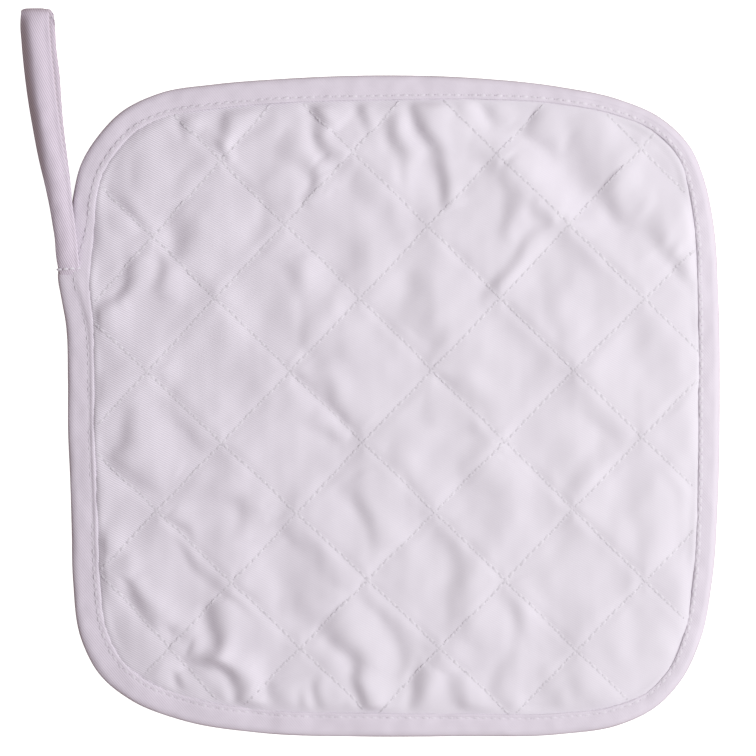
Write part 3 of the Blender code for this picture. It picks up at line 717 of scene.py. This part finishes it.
def pad_top(x, y, falling, rising, inset):
    """The pad's upper height at each place."""
    depth = np.clip(1 + SEAM_UNEVENNESS * SEAM_WAVES(x, y), 0.5, 1.5)
    rise = np.tanh(np.clip(inset, 0, None) / EDGE_RISE)
    edge_top = EDGE_TOP_HEIGHT + edge_work(x, y)[3]
    full = SEAM_TOP_HEIGHT - edge_top + cell_relief(falling, rising, depth)
    loose = smooth_step(inset / LOOSE_INSET)
    waves = BROAD_WAVE_HEIGHT * BROAD_WAVES(x, y) + CLOTH_WAVE_HEIGHT * CLOTH_WAVES(x, y)
    waves += FINE_WAVE_HEIGHT * FINE_WAVES(x, y)
    top = edge_top + full * rise + loose * (crease_heights(x, y) + waves)
    tucked = smooth_step(-inset / TUCK_INSET)
    return top * (1 - tucked) + RIM_TOP * tucked


def pad_under(x, y, falling, rising, inset):
    """The pad's lower height at each place: nearly flat, pressed on the surface, with the seams drawn up."""
    puff = np.clip(UNDER_PUFF * cell_puff(falling, rising), 0, 1) * smooth_step(inset / UNDER_EDGE_RISE)
    waves = UNDER_WAVE_HEIGHT * np.abs(UNDER_WAVES(x, y)) * (1 - puff**4)
    under = SEAM_UNDER_HEIGHT * (1 - puff) + waves
    tucked = smooth_step(-inset / TUCK_INSET)
    return under * (1 - tucked) + RIM_BOTTOM * tucked


def new_object(name, points, faces, smooth=True):
    """A mesh object from points in mm and faces."""
    mesh = bpy.data.meshes.new(name)
    mesh.from_pydata((np.asarray(points) * MM).tolist(), [], [tuple(face) for face in faces])
    mesh.validate()
    if smooth:
        mesh.shade_smooth()
    obj = bpy.data.objects.new(name, mesh)
    bpy.context.scene.collection.objects.link(obj)
    return obj


def lattice_lines(seams):
    """Places of the mesh lines across the seams, closer together beside a seam."""
    share = np.arange(LINES_PER_CELL) / LINES_PER_CELL
    share = share - SEAM_CROWDING * np.sin(2 * math.pi * share) / (2 * math.pi)
    cells = np.arange(len(seams) - 1)[:, None]
    return np.append((cells + share).ravel(), len(seams) - 1.0)


def shell_faces(keep):
    """Quads of a two-sided shell over a grid: the kept upper faces, the same below, and a rim between."""
    rows, columns = keep.shape
    index = np.arange((rows + 1) * (columns + 1)).reshape(rows + 1, columns + 1)
    quads = np.stack([index[:-1, :-1], index[1:, :-1], index[1:, 1:], index[:-1, 1:]], axis=-1)[keep]
    count = index.size
    edges = np.concatenate([quads[:, [i, (i + 1) % 4]] for i in range(4)])
    forward = edges[:, 0] * count + edges[:, 1]
    backward = edges[:, 1] * count + edges[:, 0]
    rim = edges[~np.isin(forward, backward)]
    walls = np.column_stack([rim[:, 1], rim[:, 0], rim[:, 0] + count, rim[:, 1] + count])
    return np.concatenate([quads, quads[:, ::-1] + count, walls])


def without_spare_points(points, faces):
    """The points that the faces use, and the faces with their new numbers."""
    used, numbers_now = np.unique(faces, return_inverse=True)
    return points[used], numbers_now.reshape(faces.shape)


def make_pad():
    """The padded cloth, puffed in diamonds, creased, and tucked into the binding all round."""
    falling, rising = np.meshgrid(
        lattice_lines(FALLING_SEAMS), lattice_lines(RISING_SEAMS), indexing="ij"
    )
    shape = falling.shape
    falling, rising = falling.ravel(), rising.ravel()
    x, y = seam_meeting(falling, rising)
    inset = distance_inside(x, y, INNER_RING)
    inside = (inset > -RIM_DEPTH).reshape(shape)
    keep = inside[:-1, :-1] & inside[1:, :-1] & inside[1:, 1:] & inside[:-1, 1:]
    top = pad_top(x, y, falling, rising, inset)
    under = pad_under(x, y, falling, rising, inset)
    points = np.vstack([np.column_stack([x, y, top]), np.column_stack([x, y, under])])
    return new_object("quilted_cloth", *without_spare_points(points, shell_faces(keep)))


def ring_faces(sections, around, closed):
    """Quads between neighbouring sections of around points each, and the two ends' faces if it is open."""
    faces = []
    for i in range(sections if closed else sections - 1):
        first = i * around
        second = (i + 1) % sections * around
        for j in range(around):
            k = (j + 1) % around
            faces.append((first + j, first + k, second + k, second + j))
    if not closed:
        faces.append(tuple(reversed(range(around))))
        faces.append(tuple(range((sections - 1) * around, sections * around)))
    return faces


def tape_ripples(x, y):
    """Slight unevenness of the binding's upper face."""
    return TAPE_WAVE_HEIGHT * TAPE_WAVES(x, y) + TAPE_RIPPLE_HEIGHT * TAPE_RIPPLES(x, y)


def topstitch_inset(places, inward):
    """How far inside the lip the binding's stitches run: more on the left, and most at the loop's foot."""
    away = np.linalg.norm(places - np.array(LOOP_FOOT), axis=1)
    inset = TOPSTITCH_INSET + TOPSTITCH_MORE_ON_LEFT * inward[:, 0]
    return inset + FOOT_PULL * np.exp(-((away / FOOT_REACH) ** 2))


def tape_relief(places, inward, from_edge):
    """Height added to the binding's top: the stitches' groove, the dip outside it, and the lip's lift."""
    from_stitches = from_edge - topstitch_inset(places, inward)
    groove, dip, _, _, lift = edge_work(places[:, 0], places[:, 1])
    relief = lift * smooth_step((LIP_START - from_stitches) / LIP_SLOPE)
    relief = relief - groove * np.exp(-((from_stitches / GROOVE_WIDTH) ** 2))
    return relief - dip * np.exp(-(((from_edge - DIP_INSET) / DIP_WIDTH) ** 2))


def binding_surface(place, inward, width, section):
    """Points of the binding's section at one station."""
    depth = section[:, 0] + section[:, 1] * width
    places = place + inward * depth[:, None]
    height = section[:, 2].copy()
    same = np.ones((len(section), 1))
    relief = tape_relief(place * same, inward * same, width - depth) * smooth_step((height - 2.3) / 0.3)
    ripples = tape_ripples(places[:, 0], places[:, 1]) * smooth_step((height - UPPER_FACE_HEIGHT) / 1.2)
    return np.column_stack([places, height + relief + ripples])


def make_binding():
    """The tape folded over the pad's rim, with a groove where its stitches draw it down."""
    rows = numbers(BINDING_SECTION)
    drawn = np.column_stack([rows, rows[:, 0] + rows[:, 1] * BINDING_USUAL_WIDTH])
    section = evenly_spaced(drawn, [3, 2], BINDING_SECTION_POINTS, closed=True)[:, :3]
    places, inward, widths = ring_stations(BINDING_STATIONS)
    points = [
        binding_surface(place, way, width, section) for place, way, width in zip(places, inward, widths)
    ]
    faces = ring_faces(BINDING_STATIONS, BINDING_SECTION_POINTS, closed=True)
    return new_object("binding_tape", np.vstack(points), faces)


def make_loop():
    """The hanging loop: a length of the tape, folded over at its tip, with both ends on the binding."""
    rows = evenly_spaced(numbers(LOOP_RUN), [0, 3], LOOP_STATIONS, closed=False)
    path = rows[:, [0, 3]]
    along = np.gradient(path, axis=0)
    along /= np.linalg.norm(along, axis=1)[:, None]
    table = numbers(TAPE_SECTION)
    drawn = np.column_stack([table, 9 * table[:, 0], table[:, 1] + 1.2 * table[:, 2] - 2.0 * table[:, 3]])
    section = evenly_spaced(drawn, [4, 5], LOOP_SECTION_POINTS, closed=True)[:, :4]
    points = []
    for i, ((y, left, right, height, fold, edge, hang), (step_y, step_z)) in enumerate(zip(rows, along)):
        x = left + (right - left) * section[:, 0]
        through = edge * (section[:, 1] - 0.5) + (fold - edge) * section[:, 2] - hang * section[:, 3]
        ripples = TAPE_RIPPLE_HEIGHT * TAPE_RIPPLES(x, i * LOOP_STATION_SPACING + 0 * x)
        through = through + ripples * (section[:, 1] > 0.7)
        points.append(np.column_stack([x, y - step_z * through, height + step_y * through]))
    faces = ring_faces(LOOP_STATIONS, LOOP_SECTION_POINTS, closed=False)
    return new_object("loop_tape", np.vstack(points), faces)


def make_stitches(name, middles, ways, length, radius=THREAD_RADIUS, upward=1.0, heights=THREAD_HEIGHT):
    """Thread stitches in one mesh, each lying along its way and dipping into the cloth at both ends."""
    shape = numbers(STITCH_SHAPE)
    section = numbers(STITCH_SECTION)
    up = np.array([0.0, 0.0, upward])
    points = []
    faces = []
    pattern = ring_faces(len(shape), len(section), closed=False)
    heights = heights * np.ones(len(middles))
    for middle, way, height in zip(middles, ways, heights):
        way = way / np.linalg.norm(way)
        across = np.cross(up, way)
        across /= np.linalg.norm(across)
        lift = np.cross(way, across)
        start = len(points) * len(shape) * len(section)
        rings = [
            middle
            + way * (share * length)
            + lift * rise
            + thick * radius * np.outer(section[:, 0], across)
            + thick * height * np.outer(section[:, 1], lift)
            for share, rise, thick in shape
        ]
        points.append(np.vstack(rings))
        faces.extend(tuple(start + corner for corner in face) for face in pattern)
    return new_object(name, np.vstack(points), faces)


def make_needle_holes(name, middles, sizes=1.0):
    """Small dots of painted shade for the needle holes between the stitches, each a flat bead just proud of
    the cloth.
    """
    sides = np.arange(6) * math.pi / 3
    ring = np.column_stack([np.cos(sides), np.sin(sides), 0 * sides]) * NEEDLE_HOLE_RADIUS
    bead = np.vstack([ring, [[0, 0, 0.02], [0, 0, -0.3]]])
    pattern = [(i, (i + 1) % 6, 6) for i in range(6)] + [((i + 1) % 6, i, 7) for i in range(6)]
    random = np.random.default_rng(len(middles))
    spread = random.uniform(1 - NEEDLE_HOLE_UNEVENNESS, 1 + NEEDLE_HOLE_UNEVENNESS, (len(middles), 1))
    spread = spread * np.reshape(sizes * np.ones(len(middles)), (-1, 1))
    scales = np.hstack([spread, spread, np.ones((len(middles), 1))])
    points = np.vstack([middle + bead * scale for middle, scale in zip(middles, scales)])
    faces = [tuple(8 * n + corner for corner in face) for n in range(len(middles)) for face in pattern]
    return new_object(name, points, faces, smooth=False)


def seam_line(seam, falls):
    """Places along one seam a quarter of a millimetre apart, with their lattice numbers."""
    other = np.linspace(0.0, (len(RISING_SEAMS) if falls else len(FALLING_SEAMS)) - 1.0, 1200)
    same = np.full(len(other), float(seam))
    falling, rising = (same, other) if falls else (other, same)
    x, y = seam_meeting(falling, rising)
    return x, y, falling, rising


def seam_stitches(surface, seed):
    """(middles, ways, holes) of the quilting stitches on this surface, along every seam."""
    random = np.random.default_rng(seed)
    middles, ways, holes = [], [], []
    lines = [(seam, True) for seam in range(1, len(FALLING_SEAMS) - 1)]
    lines += [(seam, False) for seam in range(1, len(RISING_SEAMS) - 1)]
    for seam, falls in lines:
        x, y, falling, rising = seam_line(seam, falls)
        inset = distance_inside(x, y, INNER_RING)
        on = inset > SEAM_STITCH_MARGIN
        if not on.any():
            continue
        x, y, falling, rising, inset = (a[on] for a in (x, y, falling, rising, inset))
        length = running_length(np.column_stack([x, y]))
        places = np.arange(random.uniform(0.3, 1.5), length[-1] - 1.0, STITCH_PITCH)
        places = places + random.uniform(-SEAM_STITCH_STRAY, SEAM_STITCH_STRAY, len(places))

        def at(where):
            values = [np.interp(where, length, a) for a in (x, y, falling, rising, inset)]
            height = surface(*values)
            return np.column_stack([values[0], values[1], height])

        half = STITCH_LENGTH / 2
        before, after = at(places - half), at(places + half)
        centre = at(places)
        ways.extend(after - before)
        middles.extend((before + after + 2 * centre) / 4)
        holes.extend(at(places + STITCH_PITCH / 2))
    return np.array(middles), np.array(ways), np.array(holes)


def binding_stitches(height, seed):
    """(middles, ways, holes, shows) of the stitches along the binding."""
    places, inward, widths = ring_stations(2000)
    line = places + inward * (widths - topstitch_inset(places, inward))[:, None]
    length = running_length(np.vstack([line, line[:1]]))
    count = int(length[-1] / STITCH_PITCH)
    random = np.random.default_rng(seed)
    where = (np.arange(count) + 0.5) * length[-1] / count
    where = where + random.uniform(-BINDING_STITCH_STRAY, BINDING_STITCH_STRAY, count)
    on_top = height > UPPER_FACE_HEIGHT
    relief = tape_relief(places, inward, topstitch_inset(places, inward)) if on_top else 0 * widths
    ring = np.column_stack([line, height + relief])
    ring = np.vstack([ring, ring[:1]])

    def at(spot):
        spot = spot % length[-1]
        x, y, z = (np.interp(spot, length, ring[:, i]) for i in range(3))
        return np.column_stack([x, y, z + tape_ripples(x, y) * on_top])

    half = STITCH_LENGTH / 2
    middles = at(where)
    shows = edge_work(middles[:, 0], middles[:, 1])[2]
    return middles, at(where + half) - at(where - half), at(where + STITCH_PITCH / 2), shows


def new_material(name):
    material = bpy.data.materials.new(name)
    material.use_nodes = True
    return material, material.node_tree.nodes, material.node_tree.links


def add_node(nodes, kind, **settings):
    node = nodes.new("ShaderNode" + kind)
    for key, value in settings.items():
        setattr(node, key, value)
    return node


def mix_colours(nodes, links, factor, first, second):
    """A node that mixes two colours by a factor socket."""
    mix = add_node(nodes, "Mix", data_type="RGBA")
    links.new(factor, mix.inputs[0])
    for socket, value in ((mix.inputs[6], first), (mix.inputs[7], second)):
        if isinstance(value, tuple):
            socket.default_value = (*value, 1.0)
        else:
            links.new(value, socket)
    return mix.outputs[2]


def noise_value(nodes, links, vector, scale, detail=2.0):
    noise = add_node(nodes, "TexNoise")
    noise.inputs["Scale"].default_value = scale
    noise.inputs["Detail"].default_value = detail
    links.new(vector, noise.inputs["Vector"])
    return noise.outputs["Fac"]


def multiply_add(nodes, links, value, factor, added, clamp=False):
    """value x factor + added, where added is a number or another output."""
    total = add_node(nodes, "Math", operation="MULTIPLY_ADD", use_clamp=clamp)
    links.new(value, total.inputs[0])
    total.inputs[1].default_value = factor
    if isinstance(added, float):
        total.inputs[2].default_value = added
    else:
        links.new(added, total.inputs[2])
    return total.outputs[0]


def add_relief(nodes, links, shader, height, strength, distance):
    relief = add_node(nodes, "Bump")
    relief.inputs["Strength"].default_value = strength
    relief.inputs["Distance"].default_value = distance
    links.new(height, relief.inputs["Height"])
    links.new(relief.outputs["Normal"], shader.inputs["Normal"])


def twill_ribs(nodes, links, vector):
    """Narrow slanting ribs, a little uneven."""
    ribs = add_node(nodes, "TexWave", wave_type="BANDS", bands_direction="Y")
    ribs.inputs["Scale"].default_value = TWILL_SCALE
    ribs.inputs["Distortion"].default_value = 0.9
    ribs.inputs["Detail"].default_value = 2.0
    ribs.inputs["Detail Scale"].default_value = 2.0
    links.new(vector, ribs.inputs["Vector"])
    return ribs.outputs["Fac"]


def twill_material(name, colour, shade, angle, rib_shade, rib_fade_right=0.0, rib_fade_down=0.0, bump=0.35):
    """Cotton twill: fine slanting ribs, uneven yarns, soft blotches of shade, and a faint sheen.

    The ribs' darker furrows and lighter tops are partly the weave and partly painted shade: their contrast is
    painted strongest on the left, where the light grazes the cloth, and fades by these shares for each metre
    to the right and to the bottom.
    """
    material, nodes, links = new_material(name)
    shader = nodes["Principled BSDF"]
    place = add_node(nodes, "TexCoord")
    turn = add_node(nodes, "Mapping")
    turn.inputs["Rotation"].default_value = (0, 0, math.radians(angle))
    links.new(place.outputs["Object"], turn.inputs["Vector"])
    ribs = twill_ribs(nodes, links, turn.outputs["Vector"])
    yarn = noise_value(nodes, links, turn.outputs["Vector"], YARN_SCALE, 3.0)
    blotch = noise_value(nodes, links, place.outputs["Object"], BLOTCH_SCALE, 3.0)
    blotched = mix_colours(nodes, links, blotch, shade, colour)
    across = add_node(nodes, "SeparateXYZ")
    links.new(place.outputs["Object"], across.inputs[0])
    # Painted rib shade: the ribs' contrast grows to the left, where the light grazes the cloth, and towards
    # the top.
    lower = multiply_add(nodes, links, across.outputs["Y"], rib_fade_down, RIB_STRENGTH)
    strength = multiply_add(nodes, links, across.outputs["X"], -rib_fade_right, lower, clamp=True)
    furrow = multiply_add(nodes, links, ribs, -1.0, 1.0)
    darker = tuple(c * rib_shade for c in shade)
    lighter = tuple(c * (2 - rib_shade) for c in shade)
    ribs_alone = mix_colours(nodes, links, furrow, lighter, darker)
    ribbed = mix_colours(nodes, links, strength, blotched, ribs_alone)
    links.new(ribbed, shader.inputs["Base Color"])
    height = multiply_add(nodes, links, yarn, YARN_RELIEF, ribs)
    add_relief(nodes, links, shader, height, bump, TWILL_RELIEF)
    shader.inputs["Roughness"].default_value = 0.88
    shader.inputs["Sheen Weight"].default_value = 0.25
    shader.inputs["Sheen Roughness"].default_value = 0.5
    shader.inputs["Specular IOR Level"].default_value = 0.25
    return material


def thread_material(name, colour):
    """Smooth sewing thread with a fine twist along it."""
    material, nodes, links = new_material(name)
    shader = nodes["Principled BSDF"]
    place = add_node(nodes, "TexCoord")
    twist = noise_value(nodes, links, place.outputs["Object"], TWIST_SCALE)
    tint = mix_colours(nodes, links, twist, tuple(c * TWIST_SHADE for c in colour), colour)
    links.new(tint, shader.inputs["Base Color"])
    add_relief(nodes, links, shader, twist, 0.4, TWIST_RELIEF)
    shader.inputs["Roughness"].default_value = 0.5
    shader.inputs["Sheen Weight"].default_value = 0.2
    return material


def finish_piece(obj, material):
    obj.data.materials.append(material)
    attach(obj, "root")
    return obj


def make_floor():
    """A plain pale floor, lit so evenly that it looks white, which sends only a little warm light back up."""
    bpy.ops.mesh.primitive_plane_add(size=FLOOR_SIZE, location=(0, 0, FLOOR_HEIGHT * MM))
    floor = bpy.context.object
    floor.name = "floor"
    material, nodes, links = new_material("pale_floor")
    shader = nodes["Principled BSDF"]
    shader.inputs["Base Color"].default_value = (*FLOOR_RETURN, 1.0)
    shader.inputs["Roughness"].default_value = 0.9
    shader.inputs["Specular IOR Level"].default_value = 0.0
    seen = add_node(nodes, "BsdfDiffuse")
    seen.inputs["Color"].default_value = (0.9, 0.9, 0.9, 1.0)
    glow = add_node(nodes, "Emission")
    glow.inputs["Color"].default_value = (1.0, 1.0, 1.0, 1.0)
    glow.inputs["Strength"].default_value = FLOOR_GLOW
    both = add_node(nodes, "AddShader")
    links.new(seen.outputs[0], both.inputs[0])
    links.new(glow.outputs[0], both.inputs[1])
    path = add_node(nodes, "LightPath")
    mix = add_node(nodes, "MixShader")
    links.new(path.outputs["Is Camera Ray"], mix.inputs[0])
    links.new(shader.outputs[0], mix.inputs[1])
    links.new(both.outputs[0], mix.inputs[2])
    links.new(mix.outputs[0], nodes["Material Output"].inputs["Surface"])
    floor.data.materials.append(material)


def area_light(name, place, size, power, colour):
    """A soft square light at place in metres, turned to the pot holder."""
    data = bpy.data.lights.new(name, "AREA")
    data.shape = "SQUARE"
    data.size = size
    data.energy = power
    data.color = colour
    light = bpy.data.objects.new(name, data)
    light.location = place
    light.rotation_euler = (-Vector(place)).to_track_quat("-Z", "Y").to_euler()
    light.visible_camera = False
    bpy.context.scene.collection.objects.link(light)


def light_place(distance, azimuth, elevation):
    azimuth, elevation = math.radians(azimuth), math.radians(elevation)
    level = distance * math.cos(elevation)
    return level * math.cos(azimuth), level * math.sin(azimuth), distance * math.sin(elevation)


def make_lights():
    """A window on the right, a little towards the top, and a room that is darker and warmer on the left."""
    area_light("window", light_place(*KEY_PLACE), KEY_SIZE, KEY_POWER, KEY_COLOUR)
    world = bpy.data.worlds.new("soft_room")
    bpy.context.scene.world = world
    world.use_nodes = True
    nodes, links = world.node_tree.nodes, world.node_tree.links
    way = add_node(nodes, "TexCoord")
    parts = add_node(nodes, "SeparateXYZ")
    links.new(way.outputs["Generated"], parts.inputs[0])
    height = multiply_add(nodes, links, parts.outputs["Z"], ROOM_BY_HEIGHT, ROOM_MIDDLE)
    share = multiply_add(nodes, links, parts.outputs["X"], ROOM_BY_SIDE, height, clamp=True)
    colour = mix_colours(nodes, links, share, ROOM_DARK, ROOM_BRIGHT)
    background = nodes["Background"]
    links.new(colour, background.inputs["Color"])
    background.inputs["Strength"].default_value = ROOM_STRENGTH


def make_camera():
    """Straight above, with a long lens."""
    data = bpy.data.cameras.new("camera")
    data.sensor_width = SENSOR_WIDTH
    data.lens = SENSOR_WIDTH * VIEW_DISTANCE / VIEW_WIDTH
    data.clip_start = 0.05
    data.clip_end = 20.0
    camera = bpy.data.objects.new("camera", data)
    camera.location = (VIEW_CENTRE[0] * MM, VIEW_CENTRE[1] * MM, VIEW_DISTANCE * MM)
    bpy.context.scene.collection.objects.link(camera)
    bpy.context.scene.camera = camera


def make_bar_tack(material):
    """Short heavy stitches in one line across the loop's foot."""
    line = evenly_spaced(numbers(BAR_TACK), [0, 1, 2], 2 * BAR_TACK_STITCHES + 1, closed=False)
    middles, ways = line[1::2], line[2::2] - line[:-2:2]
    stitches = make_stitches("bar_tack", middles, ways, BAR_TACK_LENGTH, radius=BAR_TACK_RADIUS)
    return finish_piece(stitches, material)


def make_frayed_ends(material):
    """Fine loose yarns at the loop's tip."""
    bundle = bpy.data.curves.new("frayed_yarns", "CURVE")
    bundle.dimensions = "3D"
    bundle.bevel_depth = YARN_RADIUS * MM
    bundle.bevel_resolution = 1
    bundle.use_fill_caps = True
    for number, (_, *corners) in enumerate(FRAYED_ENDS):
        spline = bundle.splines.new("POLY")
        line = evenly_spaced(np.array(corners, float), [0, 1], 8, closed=False)
        spline.points.add(len(line) - 1)
        for i, (point, (x, y)) in enumerate(zip(spline.points, line)):
            height = YARN_TOP - YARN_SPACING * number - YARN_FALL * i
            point.co = (x * MM, y * MM, height * MM, 1.0)
    obj = bpy.data.objects.new("frayed_yarns", bundle)
    bpy.context.scene.collection.objects.link(obj)
    return finish_piece(obj, material)


def loop_stitches():
    """(middles, ways) of the stitches along the sewn side of the loop's upper run."""
    rows = evenly_spaced(numbers(LOOP_RUN[2:12]), [0, 3], 400, closed=False)
    across = rows[:, 1] + LOOP_STITCH_PLACE * (rows[:, 2] - rows[:, 1])
    line = np.column_stack([across, rows[:, 0], rows[:, 3] + LOOP_STITCH_HEIGHT * rows[:, 5]])
    length = running_length(line)
    where = np.arange(LOOP_STITCH_MARGIN, length[-1] - LOOP_STITCH_MARGIN, STITCH_PITCH)

    def at(spot):
        return np.column_stack([np.interp(spot, length, line[:, i]) for i in range(3)])

    half = LOOP_STITCH_LENGTH / 2
    return at(where), at(where + half) - at(where - half)


def main():
    bpy.context.scene.view_settings.view_transform = "Standard"
    make_camera()
    make_lights()
    make_floor()
    # The twills' ribs carry painted shade, strongest on the left where the light grazes the cloth.
    pad_twill = twill_material(
        "pad_twill", PAD_COLOUR, PAD_SHADE, 28, rib_shade=0.82, rib_fade_right=11.0, rib_fade_down=2.5, bump=0.08
    )
    tape_twill = twill_material(
        "tape_twill", TAPE_COLOUR, TAPE_SHADE, 50, rib_shade=0.85, rib_fade_right=5.0, bump=0.15
    )
    loop_twill = twill_material("loop_twill", LOOP_COLOUR, LOOP_SHADE, 62, rib_shade=0.78, rib_fade_right=6.0)
    thread = thread_material("sewing_thread", THREAD_COLOUR)
    tape_thread = thread_material("tape_thread", TAPE_THREAD_COLOUR)
    # The needle holes' colours are painted shade.
    hole_shade = thread_material("needle_hole_painted_shade", NEEDLE_HOLE_PAINTED_SHADE)
    tape_hole_shade = thread_material("tape_needle_hole_painted_shade", TAPE_HOLE_PAINTED_SHADE)

    pad = finish_piece(make_pad(), pad_twill)
    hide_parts("quilted_pad")
    binding = finish_piece(make_binding(), tape_twill)
    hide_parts("edge_binding")
    loop = finish_piece(make_loop(), loop_twill)
    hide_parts("hanging_loop")

    middles, ways, holes = seam_stitches(pad_top, 31)
    finish_piece(make_stitches("quilting_stitches", middles, ways, STITCH_LENGTH), thread)
    finish_piece(make_needle_holes("needle_holes", holes), hole_shade)
    middles, ways, _ = seam_stitches(pad_under, 32)
    finish_piece(
        make_stitches("quilting_stitches_under", middles, ways, STITCH_LENGTH, upward=-1.0),
        thread,
    )
    middles, ways, holes, shows = binding_stitches(TOPSTITCH_HEIGHT, 33)
    topstitch = finish_piece(
        make_stitches("binding_stitches", middles, ways, STITCH_LENGTH, heights=TOPSTITCH_RISE * shows),
        tape_thread,
    )
    # The binding's needle holes are dots of painted shade, larger where the stitches show more.
    tape_holes = finish_piece(
        make_needle_holes("binding_needle_holes", holes, shows), tape_hole_shade
    )
    middles, ways, _, _ = binding_stitches(UNDERSTITCH_HEIGHT, 34)
    understitch = finish_piece(
        make_stitches("binding_stitches_under", middles, ways, STITCH_LENGTH, upward=-1.0),
        tape_thread,
    )
    middles, ways = loop_stitches()
    loop_thread = finish_piece(
        make_stitches("loop_stitches", middles, ways, LOOP_STITCH_LENGTH), tape_thread
    )
    tack = make_bar_tack(thread)
    frayed = make_frayed_ends(thread)


main()
